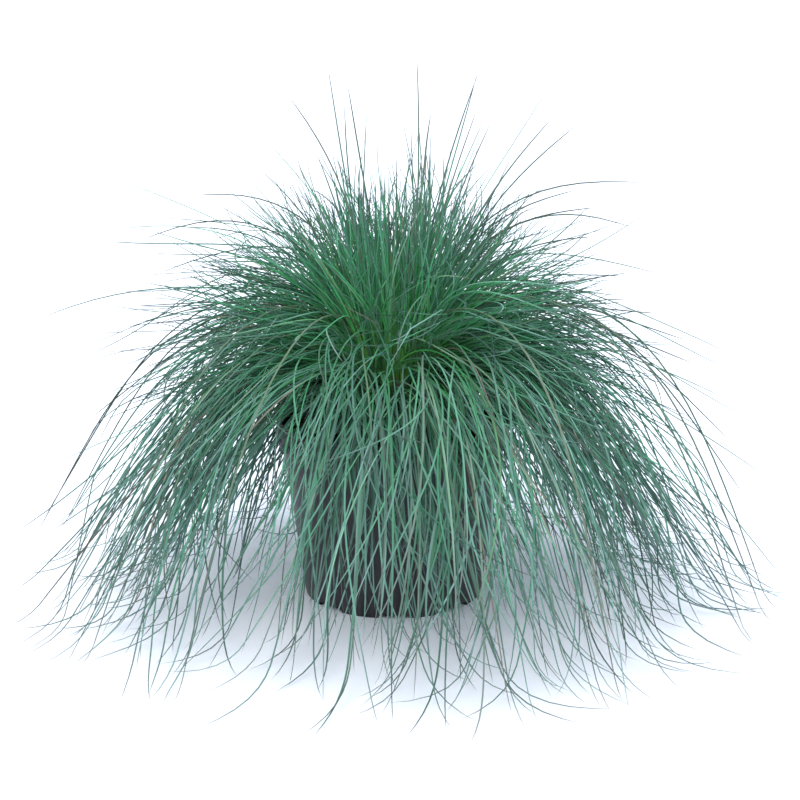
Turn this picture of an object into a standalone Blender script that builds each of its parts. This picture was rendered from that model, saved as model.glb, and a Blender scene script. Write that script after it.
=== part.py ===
"""Potted blue fescue clump: a nursery pot, its soil, the crown, and the leaf tufts that arch out of it.

Metres, +Z up. The origin is the middle of the pot's underside, on the surface that the pot stands on.
"""
import math
import random
from collections import namedtuple

import bmesh
import bpy
from mathutils import Matrix, Vector

# Nursery pot, the 15 cm round size.
POT_HEIGHT = 0.118
RIM_RADIUS = 0.075
BASE_RADIUS = 0.057
WALL = 0.0015
COLLAR_HEIGHT = 0.018
COLLAR_STEP = 0.004
LIP_ROUND = 0.0012
FOOT_HEIGHT = 0.003
FOOT_WIDTH = 0.0032
FOOT_ROUND = 0.0012
FOOT_GAPS = 8
FOOT_GAP_WIDTH = 0.020
DRAIN_HOLES = 4
DRAIN_RADIUS = 0.006
DRAIN_CIRCLE = 0.038
POT_STEPS = 48
ROUND_SHADE = 35

# Growing medium and the crown of shoot bases that stands on it.
GAP = 0.0003
SOIL_LEVEL = 0.108
SOIL_STEPS = 24
SOIL_BUMP = 0.0012
SOIL_SHOULDER = 0.010
SOIL_MIDDLE = 0.050
SOIL_PAD = 0.038
CROWN_RADIUS = 0.036
CROWN_HEIGHT = 0.024
CROWN_STEPS = 24
CROWN_RINGS = 6

# Leaf tufts. A tuft is a comb of flat locks: joined at the crown, then free from the split to their tips.
WIDTH_REACH = 0.243
DEPTH_REACH = 0.2385
WIDTH_TURN = 3
DEPTH_TURN = 5
TALLEST_TIP = 0.335
SECTOR_FILL = 0.80
LOCK_FILL = 0.75
BASE_THICKNESS = 0.0042
SPLIT_THICKNESS = 0.0022
TIP_THICKNESS = 0.0009
SHORTEST = 0.80
LONGEST = 1.02
SPREAD = 0.12
DRIFT = 0.3
LEAN_VARIES = 2.5
END_VARIES = 5
FLOOR_CLEARANCE = 0.0014
LANDING = 0.028
PATH_STEPS = 64
BEND_PULL = 0.7
LEAF_SHADE = 50
SEED = 23

# The rings of tufts, from the middle out. place is where a tuft stands on the crown, in degrees from its top.
# A lock leans lean degrees from the vertical at its foot and end_lean at its tip; turn holds the two exponents
# of the bend between. split is the share of a lock that is joined to its neighbours, sections the number of
# steps from there to the tip, and width a free lock's width.
Ring = namedtuple("Ring", "name tufts place lean end_lean length turn locks split sections width")
RINGS = (
    Ring("centre", 4, 9.0, 5.0, 15.0, 0.158, (1.3, 1.6), 3, 0.17, 4, 0.0030),
    Ring("inner", 8, 25.0, 10.0, 54.0, 0.160, (1.5, 1.8), 3, 0.15, 4, 0.0034),
    Ring("middle", 12, 45.0, 17.0, 115.0, 0.200, (2.0, 2.4), 4, 0.13, 5, 0.0036),
    Ring("outer", 18, 65.0, 27.0, 170.0, 0.330, (2.0, 6.0), 4, 0.12, 7, 0.0038),
)

LEAF_COLOURS = {
    "centre": (0.10, 0.26, 0.09),
    "inner": (0.09, 0.23, 0.11),
    "middle": (0.09, 0.20, 0.14),
    "outer": (0.12, 0.22, 0.18),
}


def material(name, colour, roughness, metallic=0.0):
    """A plain Principled material."""
    made = bpy.data.materials.new(name)
    made.use_nodes = True
    shader = made.node_tree.nodes["Principled BSDF"]
    shader.inputs["Base Color"].default_value = (*colour, 1.0)
    shader.inputs["Roughness"].default_value = roughness
    shader.inputs["Metallic"].default_value = metallic
    made.diffuse_color = (*colour, 1.0)
    return made


def add_object(name, mesh, look, parent=None):
    """Link a mesh object with its material under its parent."""
    made = bpy.data.objects.new(name, mesh)
    bpy.context.collection.objects.link(made)
    made.parent = parent
    mesh.materials.append(look)
    return made


def turned_mesh(name, profile, steps):
    """Turn a profile of (radius, height) points, from axis to axis, into a closed body about Z."""
    shape = bmesh.new()
    rows = [shape.verts.new((radius, 0.0, height)) for radius, height in profile]
    edges = [shape.edges.new(pair) for pair in zip(rows, rows[1:])]
    bmesh.ops.spin(shape, geom=rows + edges, cent=(0, 0, 0), axis=(0, 0, 1), angle=math.tau,
                   steps=steps, use_merge=True)
    bmesh.ops.remove_doubles(shape, verts=shape.verts, dist=1e-6)
    bmesh.ops.recalc_face_normals(shape, faces=shape.faces)
    mesh = bpy.data.meshes.new(name)
    shape.to_mesh(mesh)
    shape.free()
    mesh.shade_smooth()
    mesh.set_sharp_from_angle(angle=math.radians(ROUND_SHADE))
    return mesh


def wall_radius(height):
    """Outer radius of the pot's tapered wall, below the collar."""
    wall_top = RIM_RADIUS - COLLAR_STEP
    return BASE_RADIUS + (wall_top - BASE_RADIUS) * height / (POT_HEIGHT - COLLAR_HEIGHT)


def pot_profile():
    """Section of the pot: floor, foot ring, tapered wall, stepped collar and rounded lip."""
    ledge = POT_HEIGHT - COLLAR_HEIGHT
    floor_top = FOOT_HEIGHT + WALL
    collar_foot = RIM_RADIUS - LIP_ROUND / 2
    underside = [
        (0.0, FOOT_HEIGHT),
        (BASE_RADIUS - FOOT_WIDTH, FOOT_HEIGHT),
        (BASE_RADIUS - FOOT_WIDTH, 0.0),
        (BASE_RADIUS - FOOT_ROUND, 0.0),
        (wall_radius(FOOT_ROUND), FOOT_ROUND),
    ]
    outside = [
        (wall_radius(ledge), ledge),
        (collar_foot, ledge + WALL / 2),
        (RIM_RADIUS, POT_HEIGHT - LIP_ROUND),
        (RIM_RADIUS - WALL / 2, POT_HEIGHT),
    ]
    inside = [
        (RIM_RADIUS - WALL, POT_HEIGHT - LIP_ROUND),
        (collar_foot - WALL, ledge + 2 * WALL),
        (wall_radius(ledge) - WALL, ledge + WALL),
        (wall_radius(floor_top) - WALL, floor_top),
        (0.0, floor_top),
    ]
    return underside + outside + inside


def drain_cutter():
    """The gaps in the foot ring and the holes through the floor, as one cutting body."""
    shape = bmesh.new()
    for index in range(FOOT_GAPS):
        angle = math.tau * index / FOOT_GAPS - math.pi / 2
        place = Matrix.Rotation(angle, 4, "Z") @ Matrix.Translation((BASE_RADIUS, 0, 0))
        size = Matrix.Diagonal((4 * FOOT_WIDTH, FOOT_GAP_WIDTH, 2 * (FOOT_HEIGHT - GAP), 1))
        bmesh.ops.create_cube(shape, size=1.0, matrix=place @ size)
    for index in range(DRAIN_HOLES):
        angle = math.tau * (index + 0.5) / DRAIN_HOLES
        place = Matrix.Rotation(angle, 4, "Z") @ Matrix.Translation((DRAIN_CIRCLE, 0, FOOT_HEIGHT))
        bmesh.ops.create_cone(shape, cap_ends=True, segments=12, radius1=DRAIN_RADIUS,
                              radius2=DRAIN_RADIUS, depth=6 * WALL, matrix=place)
    mesh = bpy.data.meshes.new("drain_cutter")
    shape.to_mesh(mesh)
    shape.free()
    return mesh


def make_pot(look):
    """The pot, with its drainage cut out of the foot ring and floor."""
    pot = add_object("pot", turned_mesh("pot", pot_profile(), POT_STEPS), look)
    cutter = add_object("drain_cutter", drain_cutter(), look, pot)
    cutter.hide_render = True
    cutter.display_type = "WIRE"
    cut = pot.modifiers.new("drainage", "BOOLEAN")
    cut.operation = "DIFFERENCE"
    cut.object = cutter
    return pot


def make_soil(look, pot, chance):
    """The growing medium: fills the pot to just under the rim, flat below the crown, rough around it."""
    ledge = POT_HEIGHT - COLLAR_HEIGHT
    floor_top = FOOT_HEIGHT + WALL
    collar_inside = RIM_RADIUS - LIP_ROUND / 2 - WALL
    profile = [
        (0.0, floor_top + GAP),
        (wall_radius(floor_top) - WALL - 2 * GAP, floor_top + GAP),
        (wall_radius(ledge) - WALL - 2 * GAP, ledge + WALL),
        (collar_inside - 2 * GAP, ledge + 2 * WALL + 2 * GAP),
        (collar_inside - 2 * GAP, SOIL_LEVEL - SOIL_BUMP),
        (RIM_RADIUS - SOIL_SHOULDER, SOIL_LEVEL),
        (SOIL_MIDDLE, SOIL_LEVEL),
        (SOIL_PAD, SOIL_LEVEL),
        (0.0, SOIL_LEVEL),
    ]
    mesh = turned_mesh("soil", profile, SOIL_STEPS)
    for vertex in mesh.vertices:
        beside_pad = math.hypot(vertex.co.x, vertex.co.y) > (SOIL_PAD + SOIL_MIDDLE) / 2
        if beside_pad and vertex.co.z > SOIL_LEVEL - GAP:
            vertex.co.z += chance.uniform(-SOIL_BUMP, SOIL_BUMP)
    return add_object("soil", mesh, look, pot)


def crown_point(place, offset=0.0):
    """(radius, height) on the crown's dome, at an angle from its top."""
    radius = (CROWN_RADIUS + offset) * math.sin(place)
    height = SOIL_LEVEL + GAP + (CROWN_HEIGHT + offset) * math.cos(place)
    return radius, height


def make_crown(look, pot):
    """The packed base of the shoots: a low dome on the soil."""
    places = [math.pi / 2 * ring / CROWN_RINGS for ring in range(CROWN_RINGS + 1)]
    profile = [crown_point(place) for place in places]
    profile.append((0.0, SOIL_LEVEL + GAP))
    return add_object("crown", turned_mesh("crown", profile, CROWN_STEPS), look, pot)


def lock_step(ring):
    """Azimuth from one lock of a tuft to the next."""
    return math.tau / ring.tufts * SECTOR_FILL / ring.locks


def arch(ring, lean, end_lean, share):
    """Centre line of a lock as (radius, height) points: it leaves the crown, bends over and hangs.

    A short lock is the first share of a full one, so that locks of one ring lie in one shell and
    don't cross the rings over and under it. Near the floor a lock levels out and lies down.
    """
    points = [Vector(crown_point(math.radians(ring.place), GAP))]
    step = ring.length * share / PATH_STEPS
    upright = math.pi / 2
    for index in range(PATH_STEPS):
        along = min((index + 0.5) / PATH_STEPS * share, 1)
        bend = 1 - (1 - along ** ring.turn[0]) ** ring.turn[1]
        angle = math.radians(lean + (end_lean - lean) * bend)
        height = points[-1].y - FLOOR_CLEARANCE
        if angle > upright and height < LANDING:
            angle = upright + (angle - upright) * max(height, 0) / LANDING
        points.append(points[-1] + step * Vector((math.sin(angle), math.cos(angle))))
    return points


def stretch(path, axis, target):
    """Move a centre line's tip to a stated radius (axis 0) or height (axis 1), in proportion."""
    first = path[0][axis]
    factor = (target - first) / (path[-1][axis] - first)
    for point in path:
        point[axis] = first + (point[axis] - first) * factor


def stations(path, ring):
    """Indices of a lock's sections, from the split to the tip, closest where the lock bends most."""
    last = len(path) - 1
    split = round(ring.split * last)
    weights = [0.0]
    for index in range(split, last):
        before = path[index] - path[index - 1]
        after = path[index + 1] - path[index]
        weights.append(weights[-1] + 1 / (last - split) + BEND_PULL * before.angle(after))
    picked = [split]
    for section in range(1, ring.sections):
        wanted = weights[-1] * section / ring.sections
        nearest = min(range(len(weights)), key=lambda index: abs(weights[index] - wanted))
        picked.append(split + nearest)
    return picked + [last]


def turned_point(radius, height, azimuth):
    """A point at an azimuth about the plant's axis."""
    return Vector((radius * math.cos(azimuth), radius * math.sin(azimuth), height))


def skin_point(path, index, azimuth, thickness, side):
    """A point over (side 1) or under (side -1) a centre line."""
    before = path[max(index - 1, 0)]
    after = path[min(index + 1, len(path) - 1)]
    tangent = (after - before).normalized()
    radius = path[index].x - side * tangent.y * thickness / 2
    height = path[index].y + side * tangent.x * thickness / 2
    return turned_point(radius, height, azimuth)


def base_row(ring, borders, side):
    """Points of a tuft's foot, which follows the crown's dome just off its surface."""
    place = math.radians(ring.place)
    dome_step = math.hypot(CROWN_RADIUS * math.cos(place), CROWN_HEIGHT * math.sin(place))
    half = BASE_THICKNESS / 2 / dome_step
    radius, height = crown_point(place - side * half, GAP)
    return [turned_point(radius, height, azimuth) for azimuth in borders]


def split_row(paths, splits, borders, side):
    """Points across a tuft where its locks part: each border is midway between its two locks."""
    row = []
    for border, azimuth in enumerate(borders):
        beside = (max(border - 1, 0), min(border, len(paths) - 1))
        spots = [skin_point(paths[lock], splits[lock], azimuth, SPLIT_THICKNESS, side) for lock in beside]
        row.append((spots[0] + spots[1]) / 2)
    return row


def lock_sections(path, picked, ring, step, azimuth, drift):
    """Four corners of each section of a free lock, and its tip."""
    sections = []
    for number in range(1, ring.sections):
        share = number / ring.sections
        index = picked[number]
        thickness = SPLIT_THICKNESS + (TIP_THICKNESS - SPLIT_THICKNESS) * share
        radius = path[index].x
        width = min(ring.width * math.sqrt(1 - share), LOCK_FILL * radius * step)
        half = width / 2 / radius
        middle = azimuth + drift * share ** 2
        corners = ((-half, 1), (half, 1), (half, -1), (-half, -1))
        sections.append([skin_point(path, index, middle + turn, thickness, side) for turn, side in corners])
    tip = turned_point(path[-1].x, path[-1].y, azimuth + drift)
    return sections, tip


def bridge(shape, near, far):
    """Faces between two loops of four vertices."""
    for corner in range(4):
        beside = (corner + 1) % 4
        shape.faces.new((near[corner], near[beside], far[beside], far[corner]))


def tuft_mesh(name, ring, paths, azimuths, drifts):
    """One closed comb: a foot on the crown, a joined part, and locks that taper to their tips."""
    shape = bmesh.new()
    locks = len(paths)
    step = lock_step(ring)
    borders = [(border - locks / 2) * step for border in range(locks + 1)]
    picked = [stations(path, ring) for path in paths]
    splits = [stops[0] for stops in picked]
    foot = {side: [shape.verts.new(spot) for spot in base_row(ring, borders, side)] for side in (1, -1)}
    crotch = {side: [shape.verts.new(spot) for spot in split_row(paths, splits, borders, side)]
              for side in (1, -1)}
    for lock in range(locks):
        after = lock + 1
        shape.faces.new((foot[1][lock], foot[1][after], foot[-1][after], foot[-1][lock]))
        for side in (1, -1):
            shape.faces.new((foot[side][lock], crotch[side][lock], crotch[side][after], foot[side][after]))
    for border in (0, locks):
        shape.faces.new((foot[1][border], crotch[1][border], crotch[-1][border], foot[-1][border]))
    for lock in range(locks):
        after = lock + 1
        near = [crotch[1][lock], crotch[1][after], crotch[-1][after], crotch[-1][lock]]
        sections, tip = lock_sections(paths[lock], picked[lock], ring, step, azimuths[lock], drifts[lock])
        for corners in sections:
            far = [shape.verts.new(spot) for spot in corners]
            bridge(shape, near, far)
            near = far
        end = shape.verts.new(tip)
        for corner in range(4):
            shape.faces.new((near[corner], near[(corner + 1) % 4], end))
    bmesh.ops.recalc_face_normals(shape, faces=shape.faces)
    mesh = bpy.data.meshes.new(name)
    shape.to_mesh(mesh)
    shape.free()
    mesh.shade_smooth()
    mesh.set_sharp_from_angle(angle=math.radians(LEAF_SHADE))
    return mesh


def set_reach(path, azimuth):
    """Bring the outer locks that point along X or Y to the plant's stated width and depth."""
    along_x = abs(math.cos(azimuth))
    along_y = abs(math.sin(azimuth))
    if along_x > math.cos(math.radians(WIDTH_TURN)):
        stretch(path, 0, WIDTH_REACH / along_x)
    elif along_y > math.cos(math.radians(DEPTH_TURN)):
        stretch(path, 0, DEPTH_REACH / along_y)


def make_tuft(ring, number, look, pot, chance):
    """One tuft, built pointing along +X and turned to its azimuth about the plant's axis."""
    outermost = ring.name == "outer"
    turned = math.tau * (number + (0.0 if outermost else 0.5)) / ring.tufts
    step = lock_step(ring)
    paths = []
    azimuths = []
    drifts = []
    for lock in range(ring.locks):
        azimuth = (lock - (ring.locks - 1) / 2 + chance.uniform(-SPREAD, SPREAD)) * step
        drift = chance.uniform(-DRIFT, DRIFT) * step
        lean = ring.lean + chance.uniform(-LEAN_VARIES, LEAN_VARIES)
        end_lean = ring.end_lean + chance.uniform(-END_VARIES, END_VARIES)
        path = arch(ring, lean, end_lean, chance.uniform(SHORTEST, LONGEST))
        if outermost:
            set_reach(path, turned + azimuth + drift)
        paths.append(path)
        azimuths.append(azimuth)
        drifts.append(drift)
    if ring.name == "centre" and number == 0:
        stretch(paths[0], 1, TALLEST_TIP)
    name = f"{ring.name}_tuft_{number + 1:02d}"
    made = add_object(name, tuft_mesh(name, ring, paths, azimuths, drifts), look, pot)
    made.rotation_euler.z = turned
    return made


def build():
    """Empty the scene, then make every sub-part."""
    for old in list(bpy.data.objects):
        bpy.data.objects.remove(old, do_unlink=True)
    chance = random.Random(SEED)
    pot = make_pot(material("black_plastic", (0.035, 0.034, 0.042), 0.5))
    make_soil(material("potting_soil", (0.045, 0.030, 0.020), 0.95), pot, chance)
    make_crown(material("shoot_bases", (0.24, 0.24, 0.10), 0.8), pot)
    for ring in RINGS:
        look = material(f"{ring.name}_leaves", LEAF_COLOURS[ring.name], 0.6)
        for index in range(ring.tufts):
            make_tuft(ring, index, look, pot, chance)


build()
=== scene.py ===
"""Potted blue fescue clump: the looks of its pot, soil and crown, and every leaf blade.

Metres, +Z up, in the part's own frame: the origin is the middle of the pot's underside.
"""

import math
from collections import namedtuple

import bmesh
import bpy
import numpy as np
from mathutils import Matrix, Vector, noise


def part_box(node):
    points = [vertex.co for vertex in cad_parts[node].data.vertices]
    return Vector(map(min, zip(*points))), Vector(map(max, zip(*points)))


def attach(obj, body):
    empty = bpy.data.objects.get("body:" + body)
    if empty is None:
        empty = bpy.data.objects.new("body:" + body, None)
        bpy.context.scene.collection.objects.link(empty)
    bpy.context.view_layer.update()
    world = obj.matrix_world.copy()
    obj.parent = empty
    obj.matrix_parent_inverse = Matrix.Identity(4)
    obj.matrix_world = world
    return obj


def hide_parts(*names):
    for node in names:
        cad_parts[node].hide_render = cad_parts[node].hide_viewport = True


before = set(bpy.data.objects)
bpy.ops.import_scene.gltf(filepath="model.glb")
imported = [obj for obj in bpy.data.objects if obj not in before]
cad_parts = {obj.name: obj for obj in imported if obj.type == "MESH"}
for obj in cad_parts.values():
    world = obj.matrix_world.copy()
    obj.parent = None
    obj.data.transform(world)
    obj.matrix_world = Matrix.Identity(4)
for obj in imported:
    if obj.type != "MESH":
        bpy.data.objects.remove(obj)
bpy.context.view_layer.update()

SEED = 47

# Camera: its place round the pot's axis, and what it looks at.
CAMERA_DISTANCE = 1.30
CAMERA_PITCH = math.radians(14.8)
CAMERA_TARGET = Vector((0.0042, 0.0, 0.127))
SENSOR_WIDTH = 36.0
LENS = 91.67
VIEW_END = 200.0

# Stage.
FLOOR_SIZE = 60.0
SKY_COLOUR = (0.83, 0.89, 1.0, 1.0)
SKY_STRENGTH = 1.60
LAMP_COLOUR = (1.0, 0.95, 0.88)
LAMP_STRENGTH = 1.45
LAMP_WIDTH = math.radians(40)
LAMP_TURN = (math.radians(38), math.radians(-16), 0)

# Nursery pot. Its rim and height come from the frame, the rest are its own dimensions.
POT_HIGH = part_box("pot")[1]
RIM_RADIUS = POT_HIGH.x
POT_HEIGHT = POT_HIGH.z
BASE_RADIUS = 0.057
WALL = 0.0015
COLLAR_HEIGHT = 0.018
COLLAR_STEP = 0.004
LIP_HEIGHT = 0.0026
LIP_STEP = 0.0007
FOOT_HEIGHT = 0.003
FOOT_WIDTH = 0.0032
FOOT_GAPS = 8
FOOT_GAP_WIDTH = 0.020
FOOT_GAP_HEIGHT = 0.9 * FOOT_HEIGHT
DRAIN_HOLES = 4
DRAIN_RADIUS = 0.006
DRAIN_CIRCLE = 0.038
DRAIN_STEPS = 48
POT_STEPS = 192
FILLET_STEPS = 5
POT_EDGE = math.radians(40)

# Tolerances: for vertices that are welded, vertices on the soil's level, and divisors.
WELD = 1e-6
LEVEL_MARGIN = 1e-5
TINY = 1e-9

# Soil and crown. The two noises hold increment, lacunarity and octaves. CRUMB_SPREAD is in shares of the
# soil's area, and CROWN_NATURE is the crown's bloom, dryness and freshness. The old sheaths lean by a share
# of the dome's slope, and their angles are in radians.
SOIL_LEVEL = 0.108
SOIL_GAP = 0.0006
SOIL_STEPS = 144
SOIL_RINGS = 36
SOIL_LUMPS = 0.0022
LUMPS_PER_METRE = 95
SOIL_NOISE = (0.8, 2.1, 4)
CRUMBS = 420
CRUMB_SPREAD = (0.18, 0.96)
CRUMB_SIZES = (0.0006, 0.0020)
CRUMB_DENTS = (-0.35, 0.45)
CROWN_RADIUS = 0.036
CROWN_HEIGHT = 0.024
CROWN_STEPS = 96
CROWN_RINGS = 24
CROWN_RIBS = 0.0014
RIBS_PER_METRE = (240, 240, 40)
CROWN_NOISE = (0.7, 2.0, 3)
CROWN_ALONG = 0.1
CROWN_NATURE = (0.0, 0.75, 0.3)
SHEATHS = 260
SHEATH_LENGTHS = (0.010, 0.034)
SHEATH_WIDTHS = (0.0015, 0.0026)
SHEATH_SECTIONS = 6
SHEATH_EDGE = 0.98
SHEATH_LEAN = 0.75
SHEATH_OPENS = 0.7
SHEATH_BEND = 1.5
SHEATH_TURN_VARIES = 0.3
SHEATH_DRIFT_VARIES = 0.3
SHEATH_DRYNESS = (0.35, 1.0)
SHEATH_FRESHNESS = (0.2, 0.9)

# Blades: how they grow. VARIES in a name stands for a standard deviation and SHARE for a share of the
# blades, and a pair is the least and the most. Leans and kinks are in degrees, other angles in radians.
FOOT_SINK = 0.002
FOOT_CIRCLE = 0.032
FOOT_VARIES = 0.06
LEAST_FOOT = 0.01
FOOT_RADIUS_VARIES = 0.0012
BLADES_PER_SHOOT = 7
LEAN_VARIES = 4.5
TIP_LEAN_VARIES = 5.5
LENGTH_VARIES = 0.10
BLADE_LENGTHS = (0.84, 1.10)
LONG_SHARE = 0.08
LONGER_BY = (1.05, 1.35)
LENGTH_DROOPS = 0.4
BEND_IN_TIMES = (0.88, 1.12)
BEND_OUT_TIMES = (0.85, 1.15)
DRIFT_VARIES = 0.90
KINK_SHARE = 0.04
KINKS = (12, 38)
KINK_PLACES = (0.55, 0.95)
TWIST_VARIES = 0.5
FAN = {"centre": 0.24, "inner": 0.26, "middle": 0.30, "outer": 0.36}
WILD_SHARE = 0.24
WILD_TURN = 0.6
AZIMUTH_STEPS = 360
SIDE_LOBE = 4
CORNER_AREA = 3 / 8
SWAY = 0.10
SWAY_TURNS = 6.0
SWAY_SIDEWAYS = 2
MOST_DROOP = math.radians(177)
# The clump opens at its front left, beside the pot. The outer blades turn aside from there, but not those
# of a habit that bends slowly: its second exponent is PARTED_BEND or less.
PARTING_AT = math.radians(-122)
PARTING_WIDTH = math.radians(26)
PARTING_TURN = math.radians(14)
PARTED_BEND = 5

# Blades: where they meet the floor and the pot, and how finely they are traced.
FLOOR_CLEARANCE = 0.0009
POT_CLEARANCE = 2 * FLOOR_CLEARANCE
PUSHED_FROM = 1.2 * CROWN_RADIUS
LANDING = 0.024
TOUCH_HEIGHT = 0.0032
LYING_LENGTH = 0.040
REACH = (0.254, 0.250)
TRACE_STEPS = 60
DROOP_ROUNDS = 40
BEND_PULL = 0.05
SECTIONS = {"centre": 16, "inner": 18, "middle": 22, "outer": 26}
TUFTS = {"centre": 4, "inner": 8, "middle": 12, "outer": 18}

# Blades: their widths and colours. SHOOTS_DIFFER and BLADES_DIFFER are the standard deviations between
# shoots and within one.
FRESHNESS = {"centre": 0.85, "inner": 0.70, "middle": 0.34, "outer": 0.05}
WIDTHS = {"centre": (0.00072, 0.00108), "inner": (0.00072, 0.00108),
          "middle": (0.00075, 0.00115), "outer": (0.00095, 0.00135)}
BLOOM = {"centre": 0.24, "inner": 0.26, "middle": 0.36, "outer": 0.50}
SHOOTS_DIFFER = 0.20
BLADES_DIFFER = {"bloom": 0.18, "fresh": 0.12, "number": 0.22}
DRY_SHARE = 0.012
DRYNESS = (0.6, 0.9)
TINGED_SHARE = 0.14
TINGE = (0.10, 0.35)
# A blade's section: offsets over its width and its depth, and the share of its width for the pattern.
FOLD = ((-0.5, 0.16, 0.0), (0.0, -0.10, 0.5), (0.5, 0.16, 1.0), (0.0, -0.46, 0.5))
# A blade widens from its foot, narrows to its tip along a curve with two exponents, and ends in a point.
FOOT_TAPER = 0.8
WIDENING = 2
TIP_TAPER = (8, 0.7)
LEAST_TAPER = 0.40
BLADE_EDGE = math.radians(62)

# How the shoots of each kind grow. foot is their place between the crown's middle (0) and edge (1), lean
# and tip_lean are degrees from the vertical, and bend holds the two exponents of the bend between them.
# right, left, front and back are the shoots on each side, thickest in its middle, and corners are the
# shoots between the sides, all four together.
Habit = namedtuple("Habit", "ring foot lean tip_lean length bend right left front back corners")
HABITS = (
    Habit("centre", 0.17, 5, 8, 0.138, (1.2, 2.6), 4, 4, 4, 5, 0),
    Habit("centre", 0.25, 7, 22, 0.138, (2.0, 4.5), 5, 6, 3, 8, 2),
    Habit("centre", 0.33, 7, 36, 0.138, (2.0, 4.5), 7, 6, 2, 9, 6),
    Habit("inner", 0.41, 7, 50, 0.142, (2.0, 4.5), 7, 6, 1, 9, 6),
    Habit("inner", 0.50, 7, 64, 0.148, (1.4, 7.0), 6, 4, 0, 8, 4),
    Habit("inner", 0.58, 7, 78, 0.156, (2.0, 4.5), 7, 5, 0, 8, 5),
    Habit("inner", 0.58, 7, 78, 0.156, (1.4, 7.0), 7, 5, 0, 8, 4),
    Habit("middle", 0.66, 7, 92, 0.165, (2.0, 4.5), 9, 8, 0, 8, 5),
    Habit("middle", 0.74, 7, 106, 0.175, (1.4, 7.0), 7, 6, 0, 5, 4),
    Habit("middle", 0.80, 7, 118, 0.180, (2.0, 4.5), 5, 5, 1, 6, 4),
    Habit("middle", 0.80, 7, 118, 0.210, (1.6, 6.0), 5, 3, 0, 4, 2),
    Habit("middle", 0.80, 24, 134, 0.180, (2.0, 4.5), 2, 2, 3, 2, 14),
    Habit("middle", 0.85, 12, 150, 0.200, (1.8, 5.0), 2, 3, 1, 3, 0),
    Habit("outer", 0.90, 24, 158, 0.170, (1.4, 7.0), 0, 0, 7, 2, 0),
    Habit("outer", 0.88, 8, 148, 0.240, (1.4, 7.0), 8, 7, 0, 5, 0),
    Habit("outer", 0.90, 28, 150, 0.200, (1.5, 6.0), 0, 0, 4, 2, 0),
    Habit("outer", 0.90, 26, 140, 0.140, (1.4, 7.0), 1, 1, 6, 1, 8),
    Habit("outer", 0.88, 24, 143, 0.235, (1.4, 7.0), 4, 3, 1, 3, 9),
    Habit("outer", 0.88, 20, 143, 0.265, (1.4, 7.0), 1, 1, 1, 1, 10),
    Habit("outer", 0.88, 28, 150, 0.285, (1.5, 6.0), 1, 1, 1, 1, 9),
    Habit("outer", 0.88, 30, 155, 0.290, (1.6, 5.5), 0, 0, 2, 0, 8),
    Habit("outer", 0.88, 8, 150, 0.280, (1.4, 7.0), 5, 3, 0, 3, 0),
    Habit("outer", 0.88, 22, 137, 0.280, (1.4, 7.0), 0, 0, 1, 1, 7),
    Habit("outer", 0.88, 10, 155, 0.260, (1.4, 7.0), 1, 2, 0, 3, 0),
    Habit("outer", 0.88, 8, 156, 0.300, (1.5, 6.5), 3, 1, 0, 4, 0),
)

# Single long blades that leave the clump: where the tip is (to the right, back and up), and the lean at
# the foot in degrees. The ones with their tips in front and at the sides follow the photograph.
Stray = namedtuple("Stray", "right back up lean")
STRAYS = (
    Stray(0.014, -0.010, 0.350, 3), Stray(-0.043, 0.020, 0.341, 6), Stray(-0.068, -0.020, 0.325, 1),
    Stray(-0.017, 0.000, 0.316, 4), Stray(0.055, 0.015, 0.336, 4), Stray(0.052, -0.025, 0.319, 7),
    Stray(0.061, 0.030, 0.304, 10), Stray(0.018, -0.040, 0.295, 6), Stray(0.105, 0.030, 0.308, 15),
    Stray(0.117, -0.010, 0.307, 14), Stray(-0.086, 0.030, 0.273, 14), Stray(-0.047, -0.030, 0.292, 8),
    Stray(-0.030, 0.014, 0.318, 6), Stray(0.160, -0.010, 0.268, 8), Stray(0.122, 0.040, 0.256, 10),
    Stray(0.130, -0.030, 0.259, 10), Stray(0.161, 0.050, 0.227, 14), Stray(0.127, -0.050, 0.241, 16),
    Stray(0.155, 0.020, 0.207, 14), Stray(0.171, -0.020, 0.186, 12), Stray(0.197, 0.030, 0.157, 14),
    Stray(0.190, -0.040, 0.159, 12), Stray(0.186, 0.010, 0.136, 12), Stray(0.224, 0.020, 0.087, 12),
    Stray(0.226, -0.010, 0.065, 12), Stray(-0.134, 0.010, 0.256, 4), Stray(-0.163, -0.010, 0.231, 12),
    Stray(-0.127, -0.050, 0.246, 16), Stray(-0.133, 0.060, 0.206, 14), Stray(-0.166, -0.020, 0.192, 12),
    Stray(-0.180, 0.030, 0.168, 14), Stray(-0.160, -0.050, 0.184, 12), Stray(-0.164, 0.010, 0.155, 12),
    Stray(-0.196, -0.020, 0.115, 12), Stray(-0.213, -0.010, 0.045, 12), Stray(-0.238, 0.000, 0.034, 24),
    Stray(-0.230, 0.020, 0.040, 14), Stray(0.236, -0.060, 0.006, 12), Stray(0.226, -0.093, 0.008, 14),
    Stray(0.214, -0.120, 0.005, 12), Stray(0.118, -0.212, 0.010, 12), Stray(-0.124, -0.205, 0.008, 14),
    Stray(-0.175, -0.160, 0.009, 12), Stray(0.060, 0.120, 0.262, 14), Stray(-0.050, 0.140, 0.240, 14),
    Stray(0.010, 0.175, 0.215, 14), Stray(0.130, 0.150, 0.120, 12), Stray(-0.120, 0.165, 0.130, 12),
    Stray(0.020, 0.225, 0.070, 12), Stray(-0.030, 0.060, 0.325, 5), Stray(0.030, 0.085, 0.305, 10),
)
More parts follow.
